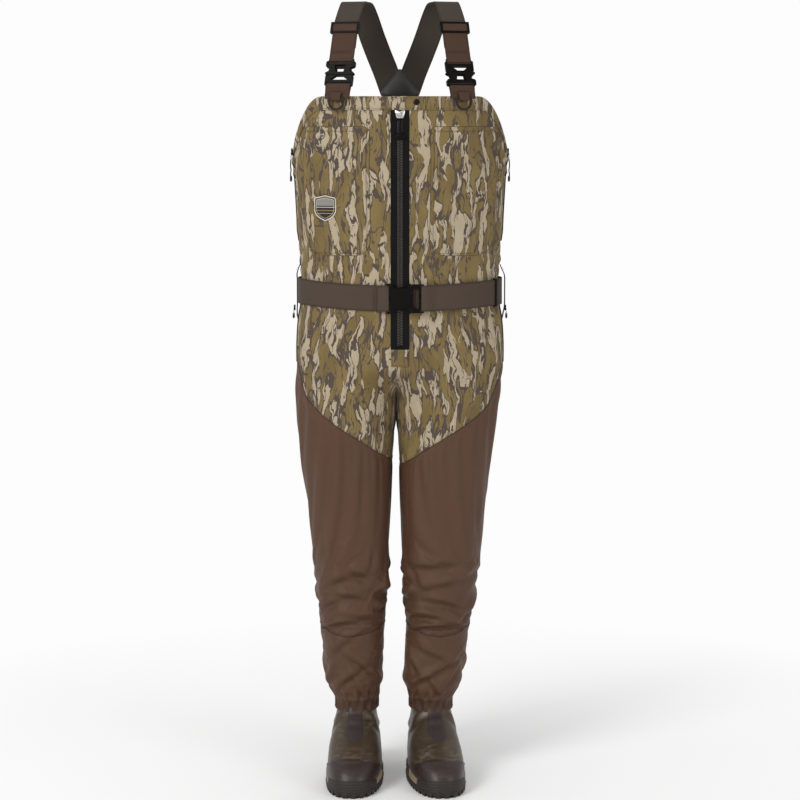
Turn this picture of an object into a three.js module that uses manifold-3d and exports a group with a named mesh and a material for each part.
// Chest waders: a zip-front upper of sewn panels, jointed legs, rubber boots, webbing belt
// and shoulder straps with side-release buckles.
// Millimetres, +Z up. The wearer faces -Y; the wearer's right side is at -X, left at +X.
// The origin is on the floor, in the middle of the whole object's box.
import * as THREE from "three";
import { mergeVertices } from "three/addons/utils/BufferGeometryUtils.js";
import Module from "manifold-3d";

const wasm = await Module();
wasm.setup();

// ---------------------------------------------------------------- driving dimensions
const WALL = 3; // stand-in thickness of the laminated fabric
const GAP = 0.4; // seam gap between neighbouring solids
const JOINT_GAP = 1.5; // radial clearance cut round the hip and knee circles
const WEB_WIDTH = 50;
const WEB_THICKNESS = 1.6;
const BODY_Y = -4; // line from which the torso's front and back depths are measured
const FRONT_DEPTH = 114;
const FRONT_Y = BODY_Y - FRONT_DEPTH; // flat front line the main zip runs on
const HEM_Z = 1351; // top of the bib at the front
const HEM_DROP = 86; // how far the sides sit below the front
const HEM_BACK = 22; // how far the centre back rises above the sides
const BAND_HEIGHT = 25; // hem band height
const ZIP_HALF = 18; // half width of the coated zip tape
const ZIP_TOP = 1325; // top of the zip tape
const WAIST_Z = 867; // bottom of the zip, top of the hip section
const BELT_Z = 966.5; // belt centre at the front
const BELT_LIFT = 8.5; // belt centre is this much higher at the sides
const SHAFT_TOP = 225; // top of the rubber boot shaft
const SHIFT = [0, 38.3]; // moves the whole object so the box is centred on the origin

// Joint axes run along X through y, z; r is the joint's radius.
const HIP = { y: 0, z: 850, r: 118 };
const KNEE = { y: 0, z: 430, r: 78, back: 92 }; // back: radius cut behind the knee

const SIDES = [
  { side: -1, word: "right" },
  { side: 1, word: "left" },
];

// ---------------------------------------------------------------- maths helpers
const vec = (x, y, z) => new THREE.Vector3(x, y, z);

const smooth = (value) => {
  const t = Math.min(1, Math.max(0, value));
  return t * t * (3 - 2 * t);
};

const signedPower = (value, exponent) => Math.sign(value) * Math.pow(Math.abs(value), exponent);

// Evenly spaced values from start to end, both included.
const range = (start, end, steps) =>
  Array.from({ length: steps + 1 }, (_, i) => start + ((end - start) * i) / steps);

// Calls point(angle) at evenly spaced angles round a full turn.
const around = (count, point) =>
  Array.from({ length: count }, (_, i) => point((2 * Math.PI * i) / count));

// Unit superellipse: the sine and cosine parts at an angle. Power 2 is a circle,
// higher powers are squarer.
const superellipse = (angle, power) => [
  signedPower(Math.sin(angle), 2 / power),
  signedPower(Math.cos(angle), 2 / power),
];

// Degrees from the front centre line, from 0 to 180, on either side of the body.
const degreesFromFront = (phi) =>
  (Math.abs(phi > Math.PI ? 2 * Math.PI - phi : phi) * 180) / Math.PI;

// Linear interpolation in a table whose rows fall in z; z is the first column.
function lookup(table, z) {
  if (z >= table[0][0]) return table[0].slice(1);
  for (let i = 1; i < table.length; i++) {
    const [upper, lower] = [table[i - 1], table[i]];
    if (z >= lower[0]) {
      const t = (z - lower[0]) / (upper[0] - lower[0]);
      return lower.slice(1).map((value, k) => value + (upper[k + 1] - value) * t);
    }
  }
  return table[table.length - 1].slice(1);
}

// ---------------------------------------------------------------- solids and geometry
// Welds a geometry into a Manifold solid, turned right side out if need be.
function toSolid(geometry) {
  const bare = geometry.clone();
  for (const key of Object.keys(bare.attributes))
    if (key !== "position") bare.deleteAttribute(key);
  const welded = mergeVertices(bare, 1e-4);
  const vertProperties = welded.attributes.position.array;
  const triVerts = new Uint32Array(welded.index.array);
  const build = () =>
    new wasm.Manifold(new wasm.Mesh({ numProp: 3, vertProperties, triVerts }));
  const solid = build();
  if (solid.volume() >= 0) return solid;
  for (let i = 0; i < triVerts.length; i += 3)
    [triVerts[i + 1], triVerts[i + 2]] = [triVerts[i + 2], triVerts[i + 1]];
  return build();
}

function toGeometry(solid) {
  const mesh = solid.getMesh();
  const positions = new Float32Array(mesh.numVert * 3);
  for (let i = 0; i < mesh.numVert; i++)
    for (let k = 0; k < 3; k++)
      positions[i * 3 + k] = mesh.vertProperties[i * mesh.numProp + k];
  return new THREE.BufferGeometry()
    .setAttribute("position", new THREE.BufferAttribute(positions, 3))
    .setIndex(new THREE.BufferAttribute(new Uint32Array(mesh.triVerts), 1));
}

const indexed = (points, indices) =>
  new THREE.BufferGeometry()
    .setAttribute("position", new THREE.Float32BufferAttribute(points.flat(), 3))
    .setIndex(indices);

// A closed solid between two grids of points, outer[row][column] and inner[row][column].
// wrap joins the last column to the first.
function gridSolid(outer, inner, wrap = false) {
  const rows = outer.length;
  const columns = outer[0].length;
  const indices = [];
  const out = (r, c) => r * columns + (c % columns);
  const inn = (r, c) => rows * columns + out(r, c);
  const quad = (a, b, c, d) => indices.push(a, b, c, a, c, d);
  const spans = wrap ? columns : columns - 1;
  const lastRow = rows - 1;
  const lastColumn = columns - 1;
  for (let r = 0; r < lastRow; r++)
    for (let c = 0; c < spans; c++) {
      quad(out(r, c), out(r, c + 1), out(r + 1, c + 1), out(r + 1, c));
      quad(inn(r, c), inn(r + 1, c), inn(r + 1, c + 1), inn(r, c + 1));
    }
  for (let c = 0; c < spans; c++) {
    quad(out(0, c), inn(0, c), inn(0, c + 1), out(0, c + 1));
    quad(out(lastRow, c), out(lastRow, c + 1), inn(lastRow, c + 1), inn(lastRow, c));
  }
  if (!wrap)
    for (let r = 0; r < lastRow; r++) {
      quad(out(r, 0), out(r + 1, 0), inn(r + 1, 0), inn(r, 0));
      quad(out(r, lastColumn), inn(r, lastColumn), inn(r + 1, lastColumn), out(r + 1, lastColumn));
    }
  return indexed([...outer.flat(), ...inner.flat()], indices);
}

// A solid loft through closed rings, capped at both ends.
function loft(rings) {
  const last = rings.length - 1;
  const columns = rings[0].length;
  const indices = [];
  const centre = (ring) =>
    [0, 1, 2].map((k) => ring.reduce((sum, point) => sum + point[k], 0) / columns);
  const at = (r, c) => r * columns + (c % columns);
  for (let r = 0; r < last; r++)
    for (let c = 0; c < columns; c++) {
      indices.push(at(r, c), at(r, c + 1), at(r + 1, c + 1));
      indices.push(at(r, c), at(r + 1, c + 1), at(r + 1, c));
    }
  const firstCentre = rings.length * columns;
  for (let c = 0; c < columns; c++) {
    indices.push(firstCentre, at(0, c + 1), at(0, c));
    indices.push(firstCentre + 1, at(last, c), at(last, c + 1));
  }
  return indexed([...rings.flat(), centre(rings[0]), centre(rings[last])], indices);
}

// A box between limits; x0 and x1 may come in either order.
const box = (x0, x1, y0, y1, z0, z1) =>
  new THREE.BoxGeometry(Math.abs(x1 - x0), y1 - y0, z1 - z0).translate(
    (x0 + x1) / 2,
    (y0 + y1) / 2,
    (z0 + z1) / 2,
  );
const boxSolid = (...limits) => toSolid(box(...limits));

// A solid cylinder along X on a joint axis, reaching the same distance to both sides.
const jointCylinder = (joint, radius, reach, segments) =>
  toSolid(
    new THREE.CylinderGeometry(radius, radius, 2 * reach, segments)
      .rotateZ(Math.PI / 2)
      .translate(0, joint.y, joint.z),
  );

// Extrudes an (x, z) outline along Y, from y0 to y1.
const plate = (points, y0, y1) =>
  new THREE.ExtrudeGeometry(new THREE.Shape(points.map(([x, z]) => new THREE.Vector2(x, z))), {
    depth: y1 - y0,
    bevelEnabled: false,
    curveSegments: 8,
  })
    .rotateX(Math.PI / 2)
    .translate(0, y1, 0);

// Completes an outline that is symmetric about x = 0 from one half of it.
const mirrored = (half) => [
  ...half,
  ...half
    .filter(([x]) => x !== 0)
    .reverse()
    .map(([x, z]) => [-x, z]),
];

// A flat strap through points. across is its width direction: one vector, or one per point.
function ribbon({ points, across, width = WEB_WIDTH, thickness = WEB_THICKNESS }) {
  const outer = [];
  const inner = [];
  points.forEach((point, i) => {
    const before = points[Math.max(0, i - 1)];
    const after = points[Math.min(points.length - 1, i + 1)];
    const tangent = after.clone().sub(before).normalize();
    const wanted = across.isVector3 ? across : across[i];
    const sideways = wanted
      .clone()
      .sub(tangent.clone().multiplyScalar(wanted.dot(tangent)))
      .normalize();
    const normal = sideways.clone().cross(tangent).normalize();
    const corner = (edge, face) =>
      point
        .clone()
        .addScaledVector(sideways, (edge * width) / 2)
        .addScaledVector(normal, (face * thickness) / 2)
        .toArray();
    outer.push([corner(-1, 1), corner(1, 1)]);
    inner.push([corner(-1, -1), corner(1, -1)]);
  });
  return gridSolid(outer, inner);
}

// ---------------------------------------------------------------- materials
const matte = ({ color, roughness }) =>
  new THREE.MeshStandardMaterial({ color, roughness, metalness: 0 });

const MATERIALS = {
  print: () => matte({ color: 0x84714d, roughness: 0.85 }),
  brown: () => matte({ color: 0x563f33, roughness: 0.7 }),
  webbing: () => matte({ color: 0x4b3a30, roughness: 0.8 }),
  belt: () => matte({ color: 0x54463d, roughness: 0.8 }),
  elastic: () => matte({ color: 0x46403a, roughness: 0.85 }),
  rubber: () => matte({ color: 0x43341f, roughness: 0.45 }),
  toe: () => matte({ color: 0x3a2f2d, roughness: 0.5 }),
  midsole: () => matte({ color: 0x8a6b53, roughness: 0.7 }),
  sole: () => matte({ color: 0x2e2725, roughness: 0.7 }),
  black: () => matte({ color: 0x1a1816, roughness: 0.4 }),
  tape: () => matte({ color: 0x121212, roughness: 0.35 }),
  yoke: () => matte({ color: 0x2b2e30, roughness: 0.6 }),
  patch: () => matte({ color: 0xb9ad92, roughness: 0.8 }),
  steel: () =>
    new THREE.MeshStandardMaterial({ color: 0xc8c4c4, roughness: 0.3, metalness: 1 }),
};

const root = new THREE.Group();
root.name = "chest_waders";
root.position.set(SHIFT[0], SHIFT[1], 0);

// Adds a named mesh made from a geometry or a solid; either way it is welded first.
function add(name, shape, material, parent = root) {
  const geometry = shape.isBufferGeometry ? shape : toGeometry(shape);
  const mesh = new THREE.Mesh(toGeometry(toSolid(geometry)), material());
  mesh.name = name;
  parent.add(mesh);
  return mesh;
}

function addGroup() {
  const group = new THREE.Group();
  root.add(group);
  return group;
}

// ---------------------------------------------------------------- torso form
const TORSO_POWER = 2.4; // squareness of every torso section

// z, half width, back depth from BODY_Y
const TORSO = [
  [1360, 203, 96],
  [1300, 204, 104],
  [1252, 205.5, 110],
  [1229, 207.5, 112],
  [1182, 205, 114],
  [1135, 202.5, 112],
  [1088, 200, 108],
  [1041, 194, 102],
  [1017, 193, 100],
  [994, 193, 101],
  [970, 194, 104],
  [946, 196, 108],
  [923, 200, 112],
  [875, 203.5, 120],
  [827, 203.5, 124],
  [779, 202, 122],
  [731, 197.5, 116],
];

// Point on a body section at angle phi (0 front centre, pi/2 wearer's left side).
function sectionPoint([halfWidth, backDepth], z, phi, offset) {
  const [sine, cosine] = superellipse(phi, TORSO_POWER);
  const depth = (cosine > 0 ? FRONT_DEPTH : backDepth) + offset;
  return [(halfWidth + offset) * sine, BODY_Y - depth * cosine, z];
}

const torsoPoint = (z, phi, offset) => sectionPoint(lookup(TORSO, z), z, phi, offset);

// Angle at which the front of the torso reaches distance x from the centre line.
const phiAt = (x, z, offset = 0) => {
  const [halfWidth] = lookup(TORSO, z);
  return Math.asin(Math.min(1, Math.pow(Math.abs(x) / (halfWidth + offset), TORSO_POWER / 2)));
};

// Height of the top hem round the body.
const hem = (phi) => {
  const degrees = degreesFromFront(phi);
  return (
    HEM_Z - HEM_DROP * smooth((degrees - 44) / 46) + HEM_BACK * smooth((degrees - 112) / 60)
  );
};

// A curved sheet on the torso between the heights low(phi) and high(phi).
// edgeX, if given, is the x of its straight first edge.
function sheet({ angles, low, high, rows, offset, thickness, edgeX = null }) {
  const layer = (distance) =>
    range(0, rows, rows).map((r) =>
      angles.map((phi, i) => {
        const bottom = low(phi);
        const z = bottom + ((high(phi) - bottom) * r) / rows;
        const point = torsoPoint(z, phi, distance);
        if (edgeX !== null && i === 0) point[0] = edgeX;
        return point;
      }),
    );
  return gridSolid(layer(offset + thickness), layer(offset));
}

// ---------------------------------------------------------------- upper panels
const SIDE_SEAM = 0.003; // angle between a panel edge and the side line, radians
const ZIP_EDGE = ZIP_HALF + GAP; // x of the front panel's edge beside the zip
const panelBottom = () => WAIST_Z + GAP / 2;

// angles shared by every layer on one side of the front, so layers run parallel
const FRONT_ANGLES = [
  phiAt(ZIP_EDGE, 1150),
  ...[61, 92, 122, 150, 172, 185, 196, 202].map((x) => phiAt(x, 1182)),
  Math.PI / 2 - SIDE_SEAM,
];

function addFrontPanels({ side, word }) {
  const angles = FRONT_ANGLES.map((phi) => side * phi);
  const edgeX = side * ZIP_EDGE;
  const panel = { low: panelBottom, high: hem, rows: 10, offset: -WALL, thickness: WALL };
  add("front_panel_" + word, sheet({ ...panel, angles, edgeX }), MATERIALS.print);

  // hem band: a strip of the same cloth turned over the top edge
  const low = (phi) => hem(phi) - BAND_HEIGHT;
  const band = { low, high: hem, rows: 1, offset: 0.8, thickness: 0.9 };
  add("hem_band_" + word, sheet({ ...band, angles, edgeX }), MATERIALS.print);

  // chest pocket: a thin patch between two of the shared angles
  const pocket = { low: () => 1048, high: () => 1294, rows: 6, offset: 1.3, thickness: 1.2 };
  add(
    "chest_pocket_" + word,
    sheet({ ...pocket, angles: angles.slice(1, 7) }),
    MATERIALS.print,
  );
}

function addBackPanel() {
  const panel = sheet({
    angles: range(Math.PI / 2 + SIDE_SEAM, (3 * Math.PI) / 2 - SIDE_SEAM, 18),
    low: panelBottom,
    high: hem,
    rows: 8,
    offset: -WALL,
    thickness: WALL,
  });
  add("back_panel", panel, MATERIALS.print);
}

SIDES.forEach(addFrontPanels);
addBackPanel();

// ---------------------------------------------------------------- legs
const LEG_COLUMNS = 20;
const LEG_POWER = 2.25; // squareness of the leg sections
const LEG_END = 168; // bottom of the lower leg
const HIP_SEGMENTS = 36;
const KNEE_SEGMENTS = 32;

// z, right outer x, right inner x, left outer x, left inner x, front y, back y
const LEGS = [
  [860, -204, -9.5, 200, -5.5, -112, 122],
  [790, -204, -9.5, 198, -5.5, -108, 116],
  [707, -202, -10, 189, -5.5, -101, 105],
  [635, -195.5, -16, 178.5, 0, -95, 95],
  [563, -187.5, -20, 173.5, 4, -89, 86],
  [490, -180, -24, 168, 6, -82, 79],
  [430, -174, -24, 160.5, 6, -78, 78],
  [368, -166, -30, 148, 10, -75, 81],
  [294, -158.5, -32, 137, 12, -72, 83],
  [245, -152.5, -34, 131, 9, -70, 79],
  [196, -145.5, -38, 123, 8, -65, 69],
  [166, -138, -44.5, 114, 16, -60, 61],
];

function legRing(side, z, offset) {
  const row = lookup(LEGS, z);
  const [outerX, innerX] = side < 0 ? row.slice(0, 2) : row.slice(2, 4);
  const [frontY, backY] = row.slice(4);
  const halfWidth = Math.abs(outerX - innerX) / 2 + offset;
  return around(LEG_COLUMNS, (angle) => {
    const [sine, cosine] = superellipse(angle, LEG_POWER);
    const depth = (cosine > 0 ? -frontY : backY) + offset;
    return [(outerX + innerX) / 2 + halfWidth * sine, -depth * cosine, z];
  });
}

const legTube = (side, heights) =>
  toSolid(
    gridSolid(
      heights.map((z) => legRing(side, z, 0)),
      heights.map((z) => legRing(side, z, -WALL)),
      true,
    ),
  );

// Hip section: pelvis shell with a rounded bottom and two leg holes.
function addHipSection() {
  const lowerHeights = [827, 779, 731];
  const body = (top, offset) =>
    toSolid(
      loft(
        [top, ...lowerHeights].map((z) => around(36, (phi) => torsoPoint(z, phi, offset))),
      ),
    );
  const rounded = (radius) =>
    jointCylinder(HIP, radius, 260, HIP_SEGMENTS).add(
      boxSolid(-260, 260, -200, 200, HIP.z, 940),
    );
  const outer = body(WAIST_Z - GAP / 2, 0).intersect(rounded(HIP.r));
  const inner = body(WAIST_Z + 5, -WALL).intersect(rounded(HIP.r - WALL));
  let shell = outer.subtract(inner);
  for (const { side } of SIDES)
    shell = shell.subtract(toSolid(loft([790, 707].map((z) => legRing(side, z, -15)))));
  add("hip_section", shell, MATERIALS.print);
}

// Line where the printed cloth meets the plain leg cloth: x outward, z.
const CLOTH_SEAM = [
  [215, 850],
  [206, 836],
  [190, 787],
  [176, 765],
  [147, 735],
  [117, 711],
  [72, 682],
  [18, 646],
  [-20, 620],
];

// Cutter that holds everything below the cloth seam, raised by lift.
function belowSeam(side, lift) {
  const outline = [
    ...CLOTH_SEAM.map(([x, z]) => [side * x, z + lift]),
    [side * -20, 300],
    [side * 215, 300],
  ];
  if (side > 0) outline.reverse();
  return toSolid(plate(outline, -250, 250));
}

function addLeg({ side, word }) {
  // thigh: cut round the hip axis at the top and round the knee axis at the bottom
  const hipCut = jointCylinder(HIP, HIP.r + JOINT_GAP, 300, HIP_SEGMENTS).add(
    boxSolid(-300, 300, -200, 200, HIP.z - 20, 960),
  );
  const kneeCut = jointCylinder(KNEE, KNEE.r + JOINT_GAP, 300, KNEE_SEGMENTS);
  const kneeBackCut = jointCylinder(KNEE, KNEE.back, 300, KNEE_SEGMENTS).intersect(
    boxSolid(-300, 300, 0, 200, KNEE.z - 120, KNEE.z + 120),
  );
  const thigh = legTube(side, [HIP.z, 790, 707, 635, 563, 490, KNEE.z + 8])
    .subtract(hipCut)
    .subtract(kneeCut)
    .subtract(kneeBackCut);
  add("leg_top_" + word, thigh.subtract(belowSeam(side, GAP)), MATERIALS.print);
  add("thigh_" + word, thigh.intersect(belowSeam(side, 0)), MATERIALS.brown);

  // lower leg: rounded ears inside the knee circle, plain tube below
  const shin = legTube(side, [520, 490, KNEE.z, 368, 294, 245, 196, LEG_END]);
  const keep = jointCylinder(KNEE, KNEE.r, 300, KNEE_SEGMENTS).add(
    boxSolid(-300, 300, -200, 200, 100, KNEE.z),
  );
  add("lower_leg_" + word, shin.intersect(keep), MATERIALS.brown);
}

addHipSection();
SIDES.forEach(addLeg);

// ---------------------------------------------------------------- boots
const BOOT_WALL = 4;
const BOOT_COLUMNS = 22;
const BOOT_AT = { right: [-87, 2, -2.5], left: [62, 2, 7] }; // x, y, turn about Z in degrees

// Boot local frame: ankle centre at x = 0, toe towards -Y.
// z, half width, toe y, heel y, squareness
const BOOT = [
  [SHAFT_TOP, 40, -52, 58, 2.1],
  [180, 38, -51, 55, 2.1],
  [150, 37, -52, 54, 2.1],
  [134, 39, -60, 56, 2.1],
  [120, 41, -76, 58, 2.15],
  [106, 44, -95, 62, 2.2],
  [92, 47, -114, 67, 2.3],
  [78, 50, -138, 74, 2.4],
  [66, 52, -158, 80, 2.45],
  [50, 53.5, -182, 87, 2.5],
  [34, 53.5, -194, 90, 2.5],
  [24.4, 53, -196, 91, 2.5],
];

// z, offset from the boot's outline
const MIDSOLE = [[24, 1.5], [19, 2.6], [14, 2.2]];
const OUTSOLE = [[13.6, 2.6], [8, 3.4], [3, 2], [0, -2]];
const CUFF = [[167.4, 9], [152, 4.5], [144, 3.8], [135, 6]];

// Outline of the boot at sectionZ, laid at height z.
function bootRing(sectionZ, offset, z = sectionZ) {
  const [halfWidth, toeY, heelY, power] = lookup(BOOT, sectionZ);
  const centreY = (toeY + heelY) / 2;
  const halfLength = (heelY - toeY) / 2 + offset;
  const longness = smooth((halfLength - 70) / 60);
  return around(BOOT_COLUMNS, (angle) => {
    const [sine, cosine] = superellipse(angle, power);
    const y = centreY - halfLength * cosine;
    // the heel half of a long foot is narrower than the ball
    const heelward = (y - centreY) / halfLength;
    const taper = 1 - longness * 0.22 * smooth((heelward + 0.1) / 0.9);
    return [(halfWidth + offset) * sine * taper, y, z];
  });
}

function addBoot({ word }) {
  const [x, y, turn] = BOOT_AT[word];
  const group = addGroup();
  group.position.set(x, y, 0);
  group.rotation.z = (turn * Math.PI) / 180;

  const body = (heights, offset) => toSolid(loft(heights.map((z) => bootRing(z, offset))));
  const heights = BOOT.map((row) => row[0]);
  const hollow = body([SHAFT_TOP + 6, ...heights.slice(1, -1), 28.5], -BOOT_WALL);
  add("boot_" + word, body(heights, 0).subtract(hollow), MATERIALS.rubber, group);

  // toe cap: a second layer of rubber over the toes
  const toeCap = body(heights, 1.9)
    .subtract(body(heights, 0.4))
    .intersect(boxSolid(-80, 80, -230, -122, 25, 72));
  add("toe_cap_" + word, toeCap, MATERIALS.toe, group);

  // the outsole has a rounded lower edge and a flat tread plane
  const soleLayer = (profile) => loft(profile.map(([z, offset]) => bootRing(30, offset, z)));
  add("midsole_" + word, soleLayer(MIDSOLE), MATERIALS.midsole, group);
  add("outsole_" + word, soleLayer(OUTSOLE), MATERIALS.sole, group);

  // gathered elastic cuff hugging the shaft
  const cuff = gridSolid(
    CUFF.map(([z, offset]) => bootRing(150, offset, z)),
    CUFF.map(([z]) => bootRing(z, 0.6)),
    true,
  );
  add("cuff_" + word, cuff, MATERIALS.brown, group);
}

SIDES.forEach(addBoot);

// ---------------------------------------------------------------- main zip
const ZIP_PULL = { y: FRONT_Y - 5.2, z: 1306.6 }; // where the pull turns
const GARAGE_TAB = { x: -35, y: FRONT_Y - 2.6 }; // where the tab turns
const PULL_HALF_THICKNESS = 1.7;

// half outlines: x, z
const SLIDER_HALF = [[6, 1310], [10, 1322], [8, 1325.4]];
const PULL_HALF = [
  [-3, 1307.4],
  [-4, 1292],
  [-5, 1282],
  [-10.5, 1280],
  [-10.5, 1272],
  [-8.5, 1269.6],
];
// radius, height out from the base
const SNAP_PROFILE = [[0, 0], [6, 0], [6, 0.9], [4.8, 1.8], [0, 2.1]];

function addMainZip() {
  const tape = box(
    -ZIP_HALF, ZIP_HALF, FRONT_Y + 0.4, FRONT_Y + 1.9, WAIST_Z + 0.6, ZIP_TOP,
  );
  add("zip_tape", tape, MATERIALS.tape);
  const chain = box(-4.5, 4.5, FRONT_Y - 2.2, FRONT_Y + 0.1, WAIST_Z + 4, ZIP_TOP - 2);
  add("zip_chain", chain, MATERIALS.black);
  // cloth patch closing the bottom of the zip
  const patch = box(-17, 17, FRONT_Y - 1.6, FRONT_Y - 0.5, 834, 866);
  add("zip_base_patch", patch, MATERIALS.print);
  const slider = plate(mirrored(SLIDER_HALF), FRONT_Y - 6.4, FRONT_Y - 2.6);
  add("zip_slider", slider, MATERIALS.steel);
  const pull = plate(
    mirrored(PULL_HALF),
    ZIP_PULL.y - PULL_HALF_THICKNESS,
    ZIP_PULL.y + PULL_HALF_THICKNESS,
  );
  add("zip_pull", pull, MATERIALS.black);
}

// zip garage tab with its snap
function addGarageTab() {
  const tab = box(-36, 48, FRONT_Y - 3.4, FRONT_Y - 2, 1326.2, 1350.8);
  add("garage_tab", tab, MATERIALS.print);
  const profile = SNAP_PROFILE.map(([radius, height]) => new THREE.Vector2(radius, height));
  const snap = new THREE.LatheGeometry(profile, 16)
    .rotateX(Math.PI)
    .translate(31.5, FRONT_Y - 3.7, 1340.5);
  add("snap_cap", snap, MATERIALS.black);
}

addMainZip();
addGarageTab();

// ---------------------------------------------------------------- badge
const BADGE = { x: -140, z: 1139.5, thickness: 1.2, standOff: 0.4 };
const BADGE_CLEAR = 2.6; // offset from the torso of a surface just outside the pocket

// half outline about the badge centre: x, z
const BADGE_HALF = [
  [0, 24],
  [10, 21.5],
  [19, 20],
  [21.5, 17],
  [21.5, -6],
  [18, -14],
  [10, -20.5],
  [0, -25],
];

// A shield-shaped patch standing just proud of the right chest pocket.
function addBadge() {
  const torsoY = (x) => torsoPoint(BADGE.z, -phiAt(x, BADGE.z), 0)[1];
  const centreY = torsoY(BADGE.x);
  const turn = Math.atan((torsoY(BADGE.x + 22) - torsoY(BADGE.x - 22)) / 44);
  const inward = vec(-Math.sin(turn), Math.cos(turn), 0);
  // the pocket bulges past the flat badge plane; find the most outward point under the badge
  let depth = 0;
  for (const t of range(-24, 24, 16))
    for (const z of [BADGE.z - 26, BADGE.z, BADGE.z + 25]) {
      const phi = -phiAt(BADGE.x + t * Math.cos(turn), z, BADGE_CLEAR);
      const [x, y] = torsoPoint(z, phi, BADGE_CLEAR);
      depth = Math.min(depth, (x - BADGE.x) * inward.x + (y - centreY) * inward.y);
    }
  depth -= BADGE.standOff;
  const badge = plate(mirrored(BADGE_HALF), -BADGE.thickness, 0)
    .rotateZ(turn)
    .translate(BADGE.x + inward.x * depth, centreY + inward.y * depth, BADGE.z);
  add("badge", badge, MATERIALS.patch);
}

addBadge();

// ---------------------------------------------------------------- side zip pulls
// slider: box limits; cord: path points of the hanging pull. x is outward.
const SIDE_PULLS = [
  {
    // chest side pocket
    name: "side_zip_pull_",
    slider: [209.6, 213.4, -15, -6, 1238, 1252],
    cord: [
      [211.6, -10.5, 1242],
      [214.2, -10.5, 1226],
      [213.2, -10.5, 1206],
      [213.8, -10.5, 1187],
    ],
    steps: 8,
  },
  {
    // lower hand-warmer pocket: a shorter pull
    name: "hip_zip_pull_",
    slider: [205.2, 208.6, -27, -20, 936, 947],
    cord: [
      [207, -23.5, 940],
      [208.4, -23.5, 931],
      [208, -23.5, 920],
    ],
    steps: 5,
  },
];
const CORD_RADIUS = 1.7;
const CORD_SECTION = new THREE.Shape(
  around(
    6,
    (angle) => new THREE.Vector2(CORD_RADIUS * Math.cos(angle), CORD_RADIUS * Math.sin(angle)),
  ),
);

function addSidePull({ side, word }, { name, slider, cord, steps }) {
  const [x0, x1, ...rest] = slider;
  const path = new THREE.CatmullRomCurve3(cord.map(([x, y, z]) => vec(side * x, y, z)));
  const cordSolid = toSolid(
    new THREE.ExtrudeGeometry(CORD_SECTION, { steps, extrudePath: path, bevelEnabled: false }),
  );
  add(name + word, boxSolid(side * x0, side * x1, ...rest).add(cordSolid), MATERIALS.black);
}

for (const place of SIDES) for (const pull of SIDE_PULLS) addSidePull(place, pull);

// ---------------------------------------------------------------- side-release buckles
// Local frame: female on the -x side, male on the +x side, z across, middle plane y = 0.
const BELT_BUCKLE = { width: 57.6, thickness: 9, femaleLength: 47, maleLength: 25 };
const STRAP_BUCKLE = { width: 58, thickness: 9, femaleLength: 28, maleLength: 22.3 };
const BUCKLE_RIM = 5; // from the buckle's long edge to its chamber
const TONGUE_INSET = 2.3; // from the outer faces to the tongue and prongs
// webbing slot: half length, its two distances from the buckle's end, half height of the bar
const SLOT = { half: 25.7, near: 3.5, far: 7, barHalf: 2 };

const subtractAll = (solid, geometries) =>
  geometries.reduce((rest, geometry) => rest.subtract(toSolid(geometry)), solid);

// The through slot and the relief on both faces of the bar at one end; inward is +1 or -1.
function slotCutters(end, inward, thickness) {
  const { half, near, far, barHalf } = SLOT;
  const farX = end + inward * far;
  return [
    box(end + inward * near, farX, -thickness, thickness, -half, half),
    box(end - inward, farX, barHalf, thickness, -half, half),
    box(end - inward, farX, -thickness, -barHalf, -half, half),
  ];
}

// The same (x, z) outline as a plate at +z and mirrored at -z.
const platePair = (outline, y0, y1) =>
  [-1, 1].map((sign) => {
    const points = outline.map(([x, z]) => [x, sign * z]);
    if (sign < 0) points.reverse();
    return plate(points, y0, y1);
  });

function femaleBuckle({ width, thickness, femaleLength }) {
  const half = width / 2;
  const chamber = half - BUCKLE_RIM;
  const faceY = thickness / 2;
  const cavityY = faceY - 1.9;
  const windowStart = -femaleLength + 11.5;
  const windowEnd = -5;
  const sideWindow = [
    [windowStart, half + 1],
    [windowStart + 3, chamber - 4],
    [windowEnd - 3, chamber - 4],
    [windowEnd, half + 1],
  ];
  return subtractAll(boxSolid(-femaleLength, 0, -faceY, faceY, -half, half), [
    box(-femaleLength + 10, 1, -cavityY, cavityY, -chamber, chamber),
    ...slotCutters(-femaleLength, 1, thickness),
    ...platePair(sideWindow, -thickness, thickness),
  ]);
}

function maleBuckle({ width, thickness, femaleLength, maleLength }) {
  const half = width / 2;
  const chamber = half - BUCKLE_RIM;
  const bodyY = thickness / 2 - 0.8;
  const tongueY = thickness / 2 - TONGUE_INSET;
  const bodyZ = half - 1.2;
  const body = subtractAll(boxSolid(0.5, maleLength, -bodyY, bodyY, -bodyZ, bodyZ), [
    ...slotCutters(maleLength, -1, thickness),
    box(4, maleLength - 10, -thickness, thickness, -half + 9, half - 9),
  ]);
  // guide tongue and the two sprung prongs, moulded in one with the male half
  const prong = [
    [1, chamber - 9],
    [1, chamber - 4],
    [-femaleLength * 0.45, chamber - 2.6],
    [-femaleLength + 17, chamber - 0.7],
    [-femaleLength + 12, chamber - 0.9],
    [-femaleLength + 11, chamber - 6],
    [-femaleLength * 0.45, chamber - 7],
  ];
  const tongue = box(-femaleLength + 16, 1, -tongueY, tongueY, -3, 3);
  return [tongue, ...platePair(prong, -tongueY, tongueY)].reduce(
    (solid, part) => solid.add(toSolid(part)),
    body,
  );
}

// Webbing stations [along, offset] round a buckle's bar. end is the buckle's end, inward the
// direction into the buckle, startFace the face (+1 or -1) the webbing starts from, and
// depths the distances in from the end.
const aroundBar = ({ end, inward, startFace, depths: [shallow, middle, deep] }) =>
  [
    [shallow, 3.2],
    [middle, 2.9],
    [deep, 1.6],
    [deep, -1.6],
    [middle, -2.9],
    [shallow, -3.2],
  ].map(([depth, offset]) => [end + inward * depth, startFace * offset]);

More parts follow.
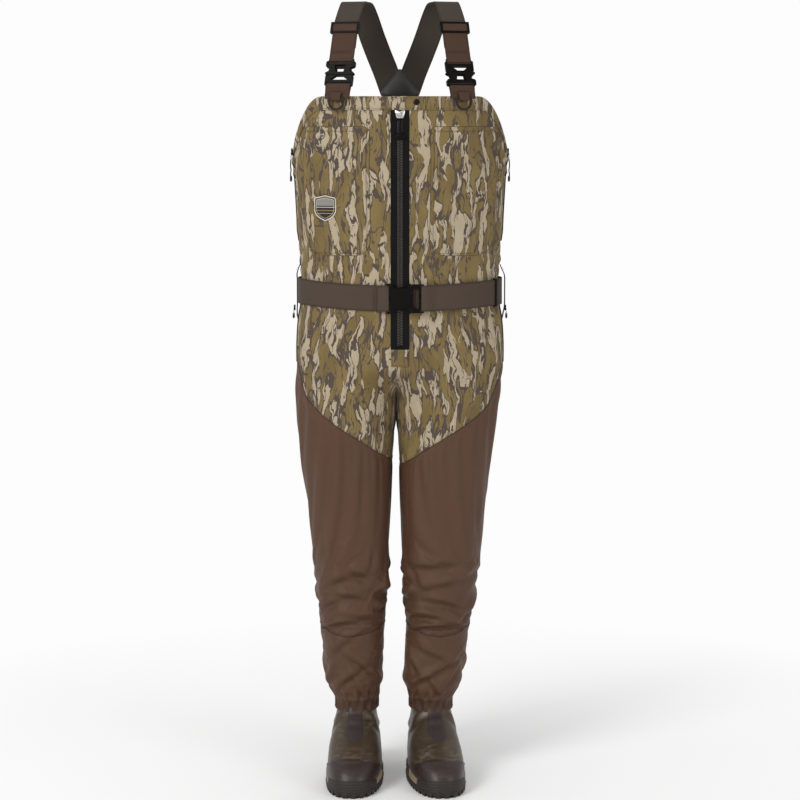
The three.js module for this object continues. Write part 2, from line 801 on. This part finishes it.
// ---------------------------------------------------------------- belt
const BUCKLE_X = 21; // where the two halves of the belt buckle meet
const BUCKLE_Y = FRONT_Y - 8.6; // middle plane of the belt buckle
const BELT_SECTION = [196.5, 106]; // half width, back depth
const BELT_BAR_DEPTHS = [2.5, 4.4, 5.4];
const BELT_OFFSET = 3.4; // webbing's middle outside the belt section
const TAIL_OFFSET = 8; // the same for the tail

const beltPoint = (phi, offset) => {
  const z = BELT_Z + BELT_LIFT * smooth(degreesFromFront(phi) / 75);
  return vec(...sectionPoint(BELT_SECTION, z, phi, offset));
};
const beltPhi = (x) => Math.asin(Math.pow(Math.abs(x) / 199, TORSO_POWER / 2));
const tailPoint = (x) => beltPoint(beltPhi(x), TAIL_OFFSET);

// [x, offset from the buckle's middle plane] to points at the belt's front height
const buckleRun = (stations) =>
  stations.map(([x, offset]) => vec(x, BUCKLE_Y + offset, BELT_Z));

function addBeltBuckle() {
  const group = addGroup();
  group.position.set(BUCKLE_X, BUCKLE_Y, BELT_Z);
  add("belt_female_buckle", femaleBuckle(BELT_BUCKLE), MATERIALS.black, group);
  add("belt_male_buckle", maleBuckle(BELT_BUCKLE), MATERIALS.black, group);
}

function addBeltWebbing() {
  const across = vec(0, 0, 1);
  // sewn round the female half's bar, then round the wearer's right side and the back
  const femaleBar = {
    end: BUCKLE_X - BELT_BUCKLE.femaleLength,
    inward: 1,
    startFace: -1,
    depths: BELT_BAR_DEPTHS,
  };
  const main = [
    ...buckleRun([
      [-43, 2.7],
      [-34, -1.2],
      [-28, -3.1],
      ...aroundBar(femaleBar),
      [-28, 3.2],
      [-37, 4.6],
    ]),
    ...range(2 * Math.PI - beltPhi(50), beltPhi(66), 30).map((phi) =>
      beltPoint(phi, BELT_OFFSET),
    ),
  ];
  add("belt_webbing", ribbon({ points: main, across }), MATERIALS.belt);

  // tail: round the male half's bar and back along the outside, through the keeper
  const maleBar = {
    end: BUCKLE_X + BELT_BUCKLE.maleLength,
    inward: -1,
    startFace: 1,
    depths: BELT_BAR_DEPTHS,
  };
  const tail = [
    ...buckleRun([[60, 3.2], [50, 3.2], ...aroundBar(maleBar)]),
    vec(52, BUCKLE_Y - 2.6, BELT_Z + 0.5),
    ...[66, 88, 108, 127, 144, 159, 172, 188, 193].map(tailPoint),
  ];
  add("belt_tail_webbing", ribbon({ points: tail, across }), MATERIALS.belt);
}

// keeper: a flat ring round the tail, on its straight run near the side
function addBeltKeeper() {
  const start = tailPoint(172);
  const end = tailPoint(188);
  const ring = boxSolid(-4, 4, -2.9, 2.7, -28, 28).subtract(
    boxSolid(-5, 5, -1.5, 1.6, -26.2, 26.2),
  );
  const keeper = add("belt_keeper", ring, MATERIALS.black);
  keeper.position.copy(start.clone().lerp(end, 0.5));
  keeper.rotation.z = Math.atan2(end.y - start.y, end.x - start.x);
}

// x outward, z
const BELT_LOOP = [
  [205.0, 1020],
  [206.2, 1010],
  [206.2, 975],
  [206.2, 941],
  [205.4, 931],
];

function addBeltLoop({ side, word }) {
  const points = BELT_LOOP.map(([x, z]) => vec(side * x, 0, z));
  const loop = ribbon({ points, across: vec(0, 1, 0), width: 20 });
  add("belt_loop_" + word, loop, MATERIALS.webbing);
}

addBeltBuckle();
addBeltWebbing();
addBeltKeeper();
SIDES.forEach(addBeltLoop);

// ---------------------------------------------------------------- back yoke
// A triangular patch the straps run into, grown by margin on its faces and outline.
const yoke = (margin) =>
  plate(
    mirrored([
      [38 + margin, 1354 - margin],
      [40 + margin, 1361],
      [35 + margin, 1367 + margin],
      [5 + margin, 1406 + margin],
      [0, 1409 + margin],
    ]),
    102 - margin,
    111 + margin,
  );

// elastic strap below the yoke, lying on the back panel at its lower end
function addBackAnchorStrap() {
  const onBack = (z) => vec(0, lookup(TORSO, z)[1] + BODY_Y + 2.2, z);
  const points = [
    vec(0, 106.5, 1353.4),
    vec(0, 106, 1330),
    vec(0, 105, 1305),
    onBack(1284),
    onBack(1245),
  ];
  add("back_anchor_strap", ribbon({ points, across: vec(-1, 0, 0) }), MATERIALS.elastic);
}

add("back_yoke", yoke(0), MATERIALS.yoke);
addBackAnchorStrap();

// ---------------------------------------------------------------- shoulder straps
// Tables are for the wearer's right and are mirrored for the left.
const STRAP_BASE = [-120.5, -109, 1348]; // at the hem
const STRAP_DIRECTION = [16, 50, 132];
const STRAP_ACROSS = [0.95, -0.31, 0];
const TOP_Z = 1533; // height of the strap where it lies flat on the shoulder

// Stations along the strap, from its base.
const BUCKLE_START = 24.8;
const BUCKLE_END = BUCKLE_START + STRAP_BUCKLE.femaleLength + STRAP_BUCKLE.maleLength;
const ADJUSTER_AT = 144.5;
const STRAP_BAR_DEPTHS = [2, 4.2, 5.3];

// Path over the shoulder and down the back: point x, y, z; width direction x, y, z.
const ARCH = [
  [-94, -36, 1522, 0.96, -0.29, 0],
  [-89.5, -22, TOP_Z, 0.957, -0.29, 0],
  [-86.5, -12, TOP_Z, 0.957, -0.29, 0],
  [-83.5, -2, TOP_Z, 0.957, -0.29, 0],
  [-80.5, 8, TOP_Z, 0.957, -0.29, 0],
  [-75, 24, 1527, 0.957, -0.24, 0.06],
  [-66, 46, 1503, 0.95, -0.16, 0.2],
  [-55, 68, 1470, 0.94, -0.06, 0.3],
  [-42, 88, 1436, 0.94, 0, 0.34],
  [-29, 102, 1404, 0.94, 0.02, 0.35],
  [-18, 107, 1376, 0.94, 0.02, 0.35],
];

// Narrow fold round the D-ring: distance outward and height from the ring's origin.
const RING_FOLD = [
  [-1.2, 9],
  [-3.6, 3.4],
  [-3.8, 0],
  [-2.7, -3],
  [0, -4.2],
  [2.7, -3],
  [3.8, 0],
  [3.4, 3.4],
  [0.9, 8],
  [-2.4, 11.5],
];

// Directions and placing functions for the straight front run of one strap.
function strapFrame({ side, word }) {
  const mirrorPoint = ([x, y, z]) => vec(-side * x, y, z);
  // a width direction keeps pointing to +X on both sides
  const mirrorAcross = ([x, y, z]) => vec(x, -side * y, -side * z);
  const base = mirrorPoint(STRAP_BASE);
  const along = mirrorPoint(STRAP_DIRECTION).normalize();
  const across = mirrorAcross(STRAP_ACROSS);
  across.sub(along.clone().multiplyScalar(across.dot(along))).normalize();
  const outward = across.clone().cross(along).normalize();
  const at = (distance, offset = 0) =>
    base.clone().addScaledVector(along, distance).addScaledVector(outward, offset);
  // webbing through [distance along, offset outward] stations
  const band = (stations) =>
    toSolid(ribbon({ points: stations.map((station) => at(...station)), across }));
  return {
    side, word, mirrorPoint, mirrorAcross, along, across, outward, at, band,
    yaw: Math.atan2(across.y, across.x),
    ringOrigin: at(-2, 4.4),
  };
}

// D-ring hanging from a narrow fold at the webbing's lower end
function addDRing({ word, yaw, ringOrigin }) {
  const group = addGroup();
  group.position.copy(ringOrigin);
  group.rotation.z = yaw;
  const outer = 16;
  const inner = 12;
  const barHalf = 1.8;
  const arcZ = -7;
  const shape = new THREE.Shape();
  shape.moveTo(-outer, barHalf);
  shape.lineTo(-outer, arcZ);
  shape.absarc(0, arcZ, outer, Math.PI, 2 * Math.PI, false);
  shape.lineTo(outer, barHalf);
  shape.lineTo(-outer, barHalf);
  const hole = new THREE.Path();
  hole.moveTo(-inner, -barHalf);
  hole.lineTo(inner, -barHalf);
  hole.lineTo(inner, arcZ);
  hole.absarc(0, arcZ, inner, 0, Math.PI, true);
  hole.lineTo(-inner, -barHalf);
  shape.holes.push(hole);
  const depth = 3.2;
  const ring = new THREE.ExtrudeGeometry(shape, {
    depth,
    bevelEnabled: false,
    curveSegments: 8,
  })
    .rotateX(Math.PI / 2)
    .translate(0, depth / 2, 0);
  add("d_ring_" + word, ring, MATERIALS.black, group);
}

// anchor webbing: sewn at the hem, round the lower half's bar; the narrow fold holds the ring
function addAnchorWebbing({ word, yaw, ringOrigin, band }) {
  const webbing = band([
    [-1, 0.9],
    [12, 0.9],
    [BUCKLE_START - 3, 3.1],
    ...aroundBar({ end: BUCKLE_START, inward: 1, startFace: 1, depths: STRAP_BAR_DEPTHS }),
    [BUCKLE_START - 3, -3.1],
    [14, -1.2],
    [3.4, -1.2],
  ]);
  const level = vec(Math.cos(yaw), Math.sin(yaw), 0);
  const forward = vec(Math.sin(yaw), -Math.cos(yaw), 0);
  const points = RING_FOLD.map(([distance, z]) =>
    ringOrigin.clone().addScaledVector(forward, distance).add(vec(0, 0, z)),
  );
  const fold = toSolid(ribbon({ points, across: level, width: 20, thickness: 1.4 }));
  add("anchor_webbing_" + word, webbing.add(fold), MATERIALS.webbing);
}

// On the wearer's right the female half is on top, on the left the male half.
function addStrapBuckle({ side, word, along, outward, at }) {
  const group = new THREE.Group();
  const xAxis = along.clone().multiplyScalar(side);
  const yAxis = outward.clone().negate();
  const zAxis = xAxis.clone().cross(yAxis);
  const { femaleLength, maleLength } = STRAP_BUCKLE;
  const join = BUCKLE_START + (side < 0 ? maleLength : femaleLength);
  group.applyMatrix4(
    new THREE.Matrix4().makeBasis(xAxis, yAxis, zAxis).setPosition(at(join)),
  );
  root.add(group);
  const halves = [femaleBuckle(STRAP_BUCKLE), maleBuckle(STRAP_BUCKLE)];
  if (side > 0) halves.reverse();
  add("upper_buckle_" + word, halves[0], MATERIALS.black, group);
  add("lower_buckle_" + word, halves[1], MATERIALS.black, group);
}

// webbing loop: round the upper half's bar, its long front layer runs into the adjuster
function addWebbingLoop({ word, band }) {
  const loop = band([
    [BUCKLE_END + 6, -3.1],
    [BUCKLE_END + 1, -3.2],
    ...aroundBar({ end: BUCKLE_END, inward: -1, startFace: -1, depths: STRAP_BAR_DEPTHS }),
    [BUCKLE_END + 2, 2.8],
    [BUCKLE_END + 7, 1.2],
    [BUCKLE_END + 20, 1.2],
    [150, 1.2],
  ]);
  add("webbing_loop_" + word, loop, MATERIALS.webbing);
}

// strap adjuster: a flat sleeve with two slots through its front wall
function addAdjuster({ word, across, outward, at }) {
  const group = new THREE.Group();
  group.applyMatrix4(
    new THREE.Matrix4()
      .makeBasis(across, outward, across.clone().cross(outward))
      .setPosition(at(ADJUSTER_AT)),
  );
  root.add(group);
  const sleeve = subtractAll(boxSolid(-29.5, 29.5, -4.2, 4.2, -11.2, 11.2), [
    box(-25.8, 25.8, -2.4, 2.4, -12, 12),
    box(-25.8, 25.8, 1, 6, -7.4, -2),
    box(-25.8, 25.8, 1, 6, 2, 7.4),
  ]);
  add("triglide_" + word, sleeve, MATERIALS.black, group);
}

// shoulder strap: straight front, over the shoulder, down to the yoke
function addShoulderStrap({ side, word, mirrorPoint, mirrorAcross, across, at }) {
  const front = [103, 125, 146, 158];
  const points = [
    ...front.map((distance) => at(distance, -1.2)),
    ...ARCH.map((row) => mirrorPoint(row.slice(0, 3))),
  ];
  const widths = [
    ...front.map(() => across),
    ...ARCH.map((row) => mirrorAcross(row.slice(3)).normalize()),
  ];
  // each strap keeps clear of the yoke and to its own side of the centre line
  const strap = subtractAll(toSolid(ribbon({ points, across: widths })), [
    yoke(0.5),
    box(side * 0.3, -side * 200, 60, 200, 1300, 1560),
  ]);
  // the cuts may leave loose slivers; keep the largest part
  const parts = strap.decompose().sort((p, q) => q.volume() - p.volume());
  add("shoulder_strap_" + word, parts[0], MATERIALS.elastic);
}

const frames = {};
for (const place of SIDES) {
  const frame = strapFrame(place);
  addDRing(frame);
  addAnchorWebbing(frame);
  addStrapBuckle(frame);
  addWebbingLoop(frame);
  addAdjuster(frame);
  addShoulderStrap(frame);
  // d along the strap, w across it, n outward
  frames[frame.word] = {
    d: frame.along.toArray(),
    w: frame.across.toArray(),
    n: frame.outward.toArray(),
    ring: frame.ringOrigin.toArray(),
    yaw: frame.yaw,
    hang: frame.mirrorPoint([-85, -7, TOP_Z]).toArray(),
  };
}

// where the moving pieces turn and slide, in millimetres before the shift
root.userData = {
  shift: SHIFT,
  frames,
  PULL: ZIP_PULL,
  TAB: GARAGE_TAB,
  HIP,
  KNEE,
  BOOT_AT,
};

export default root;
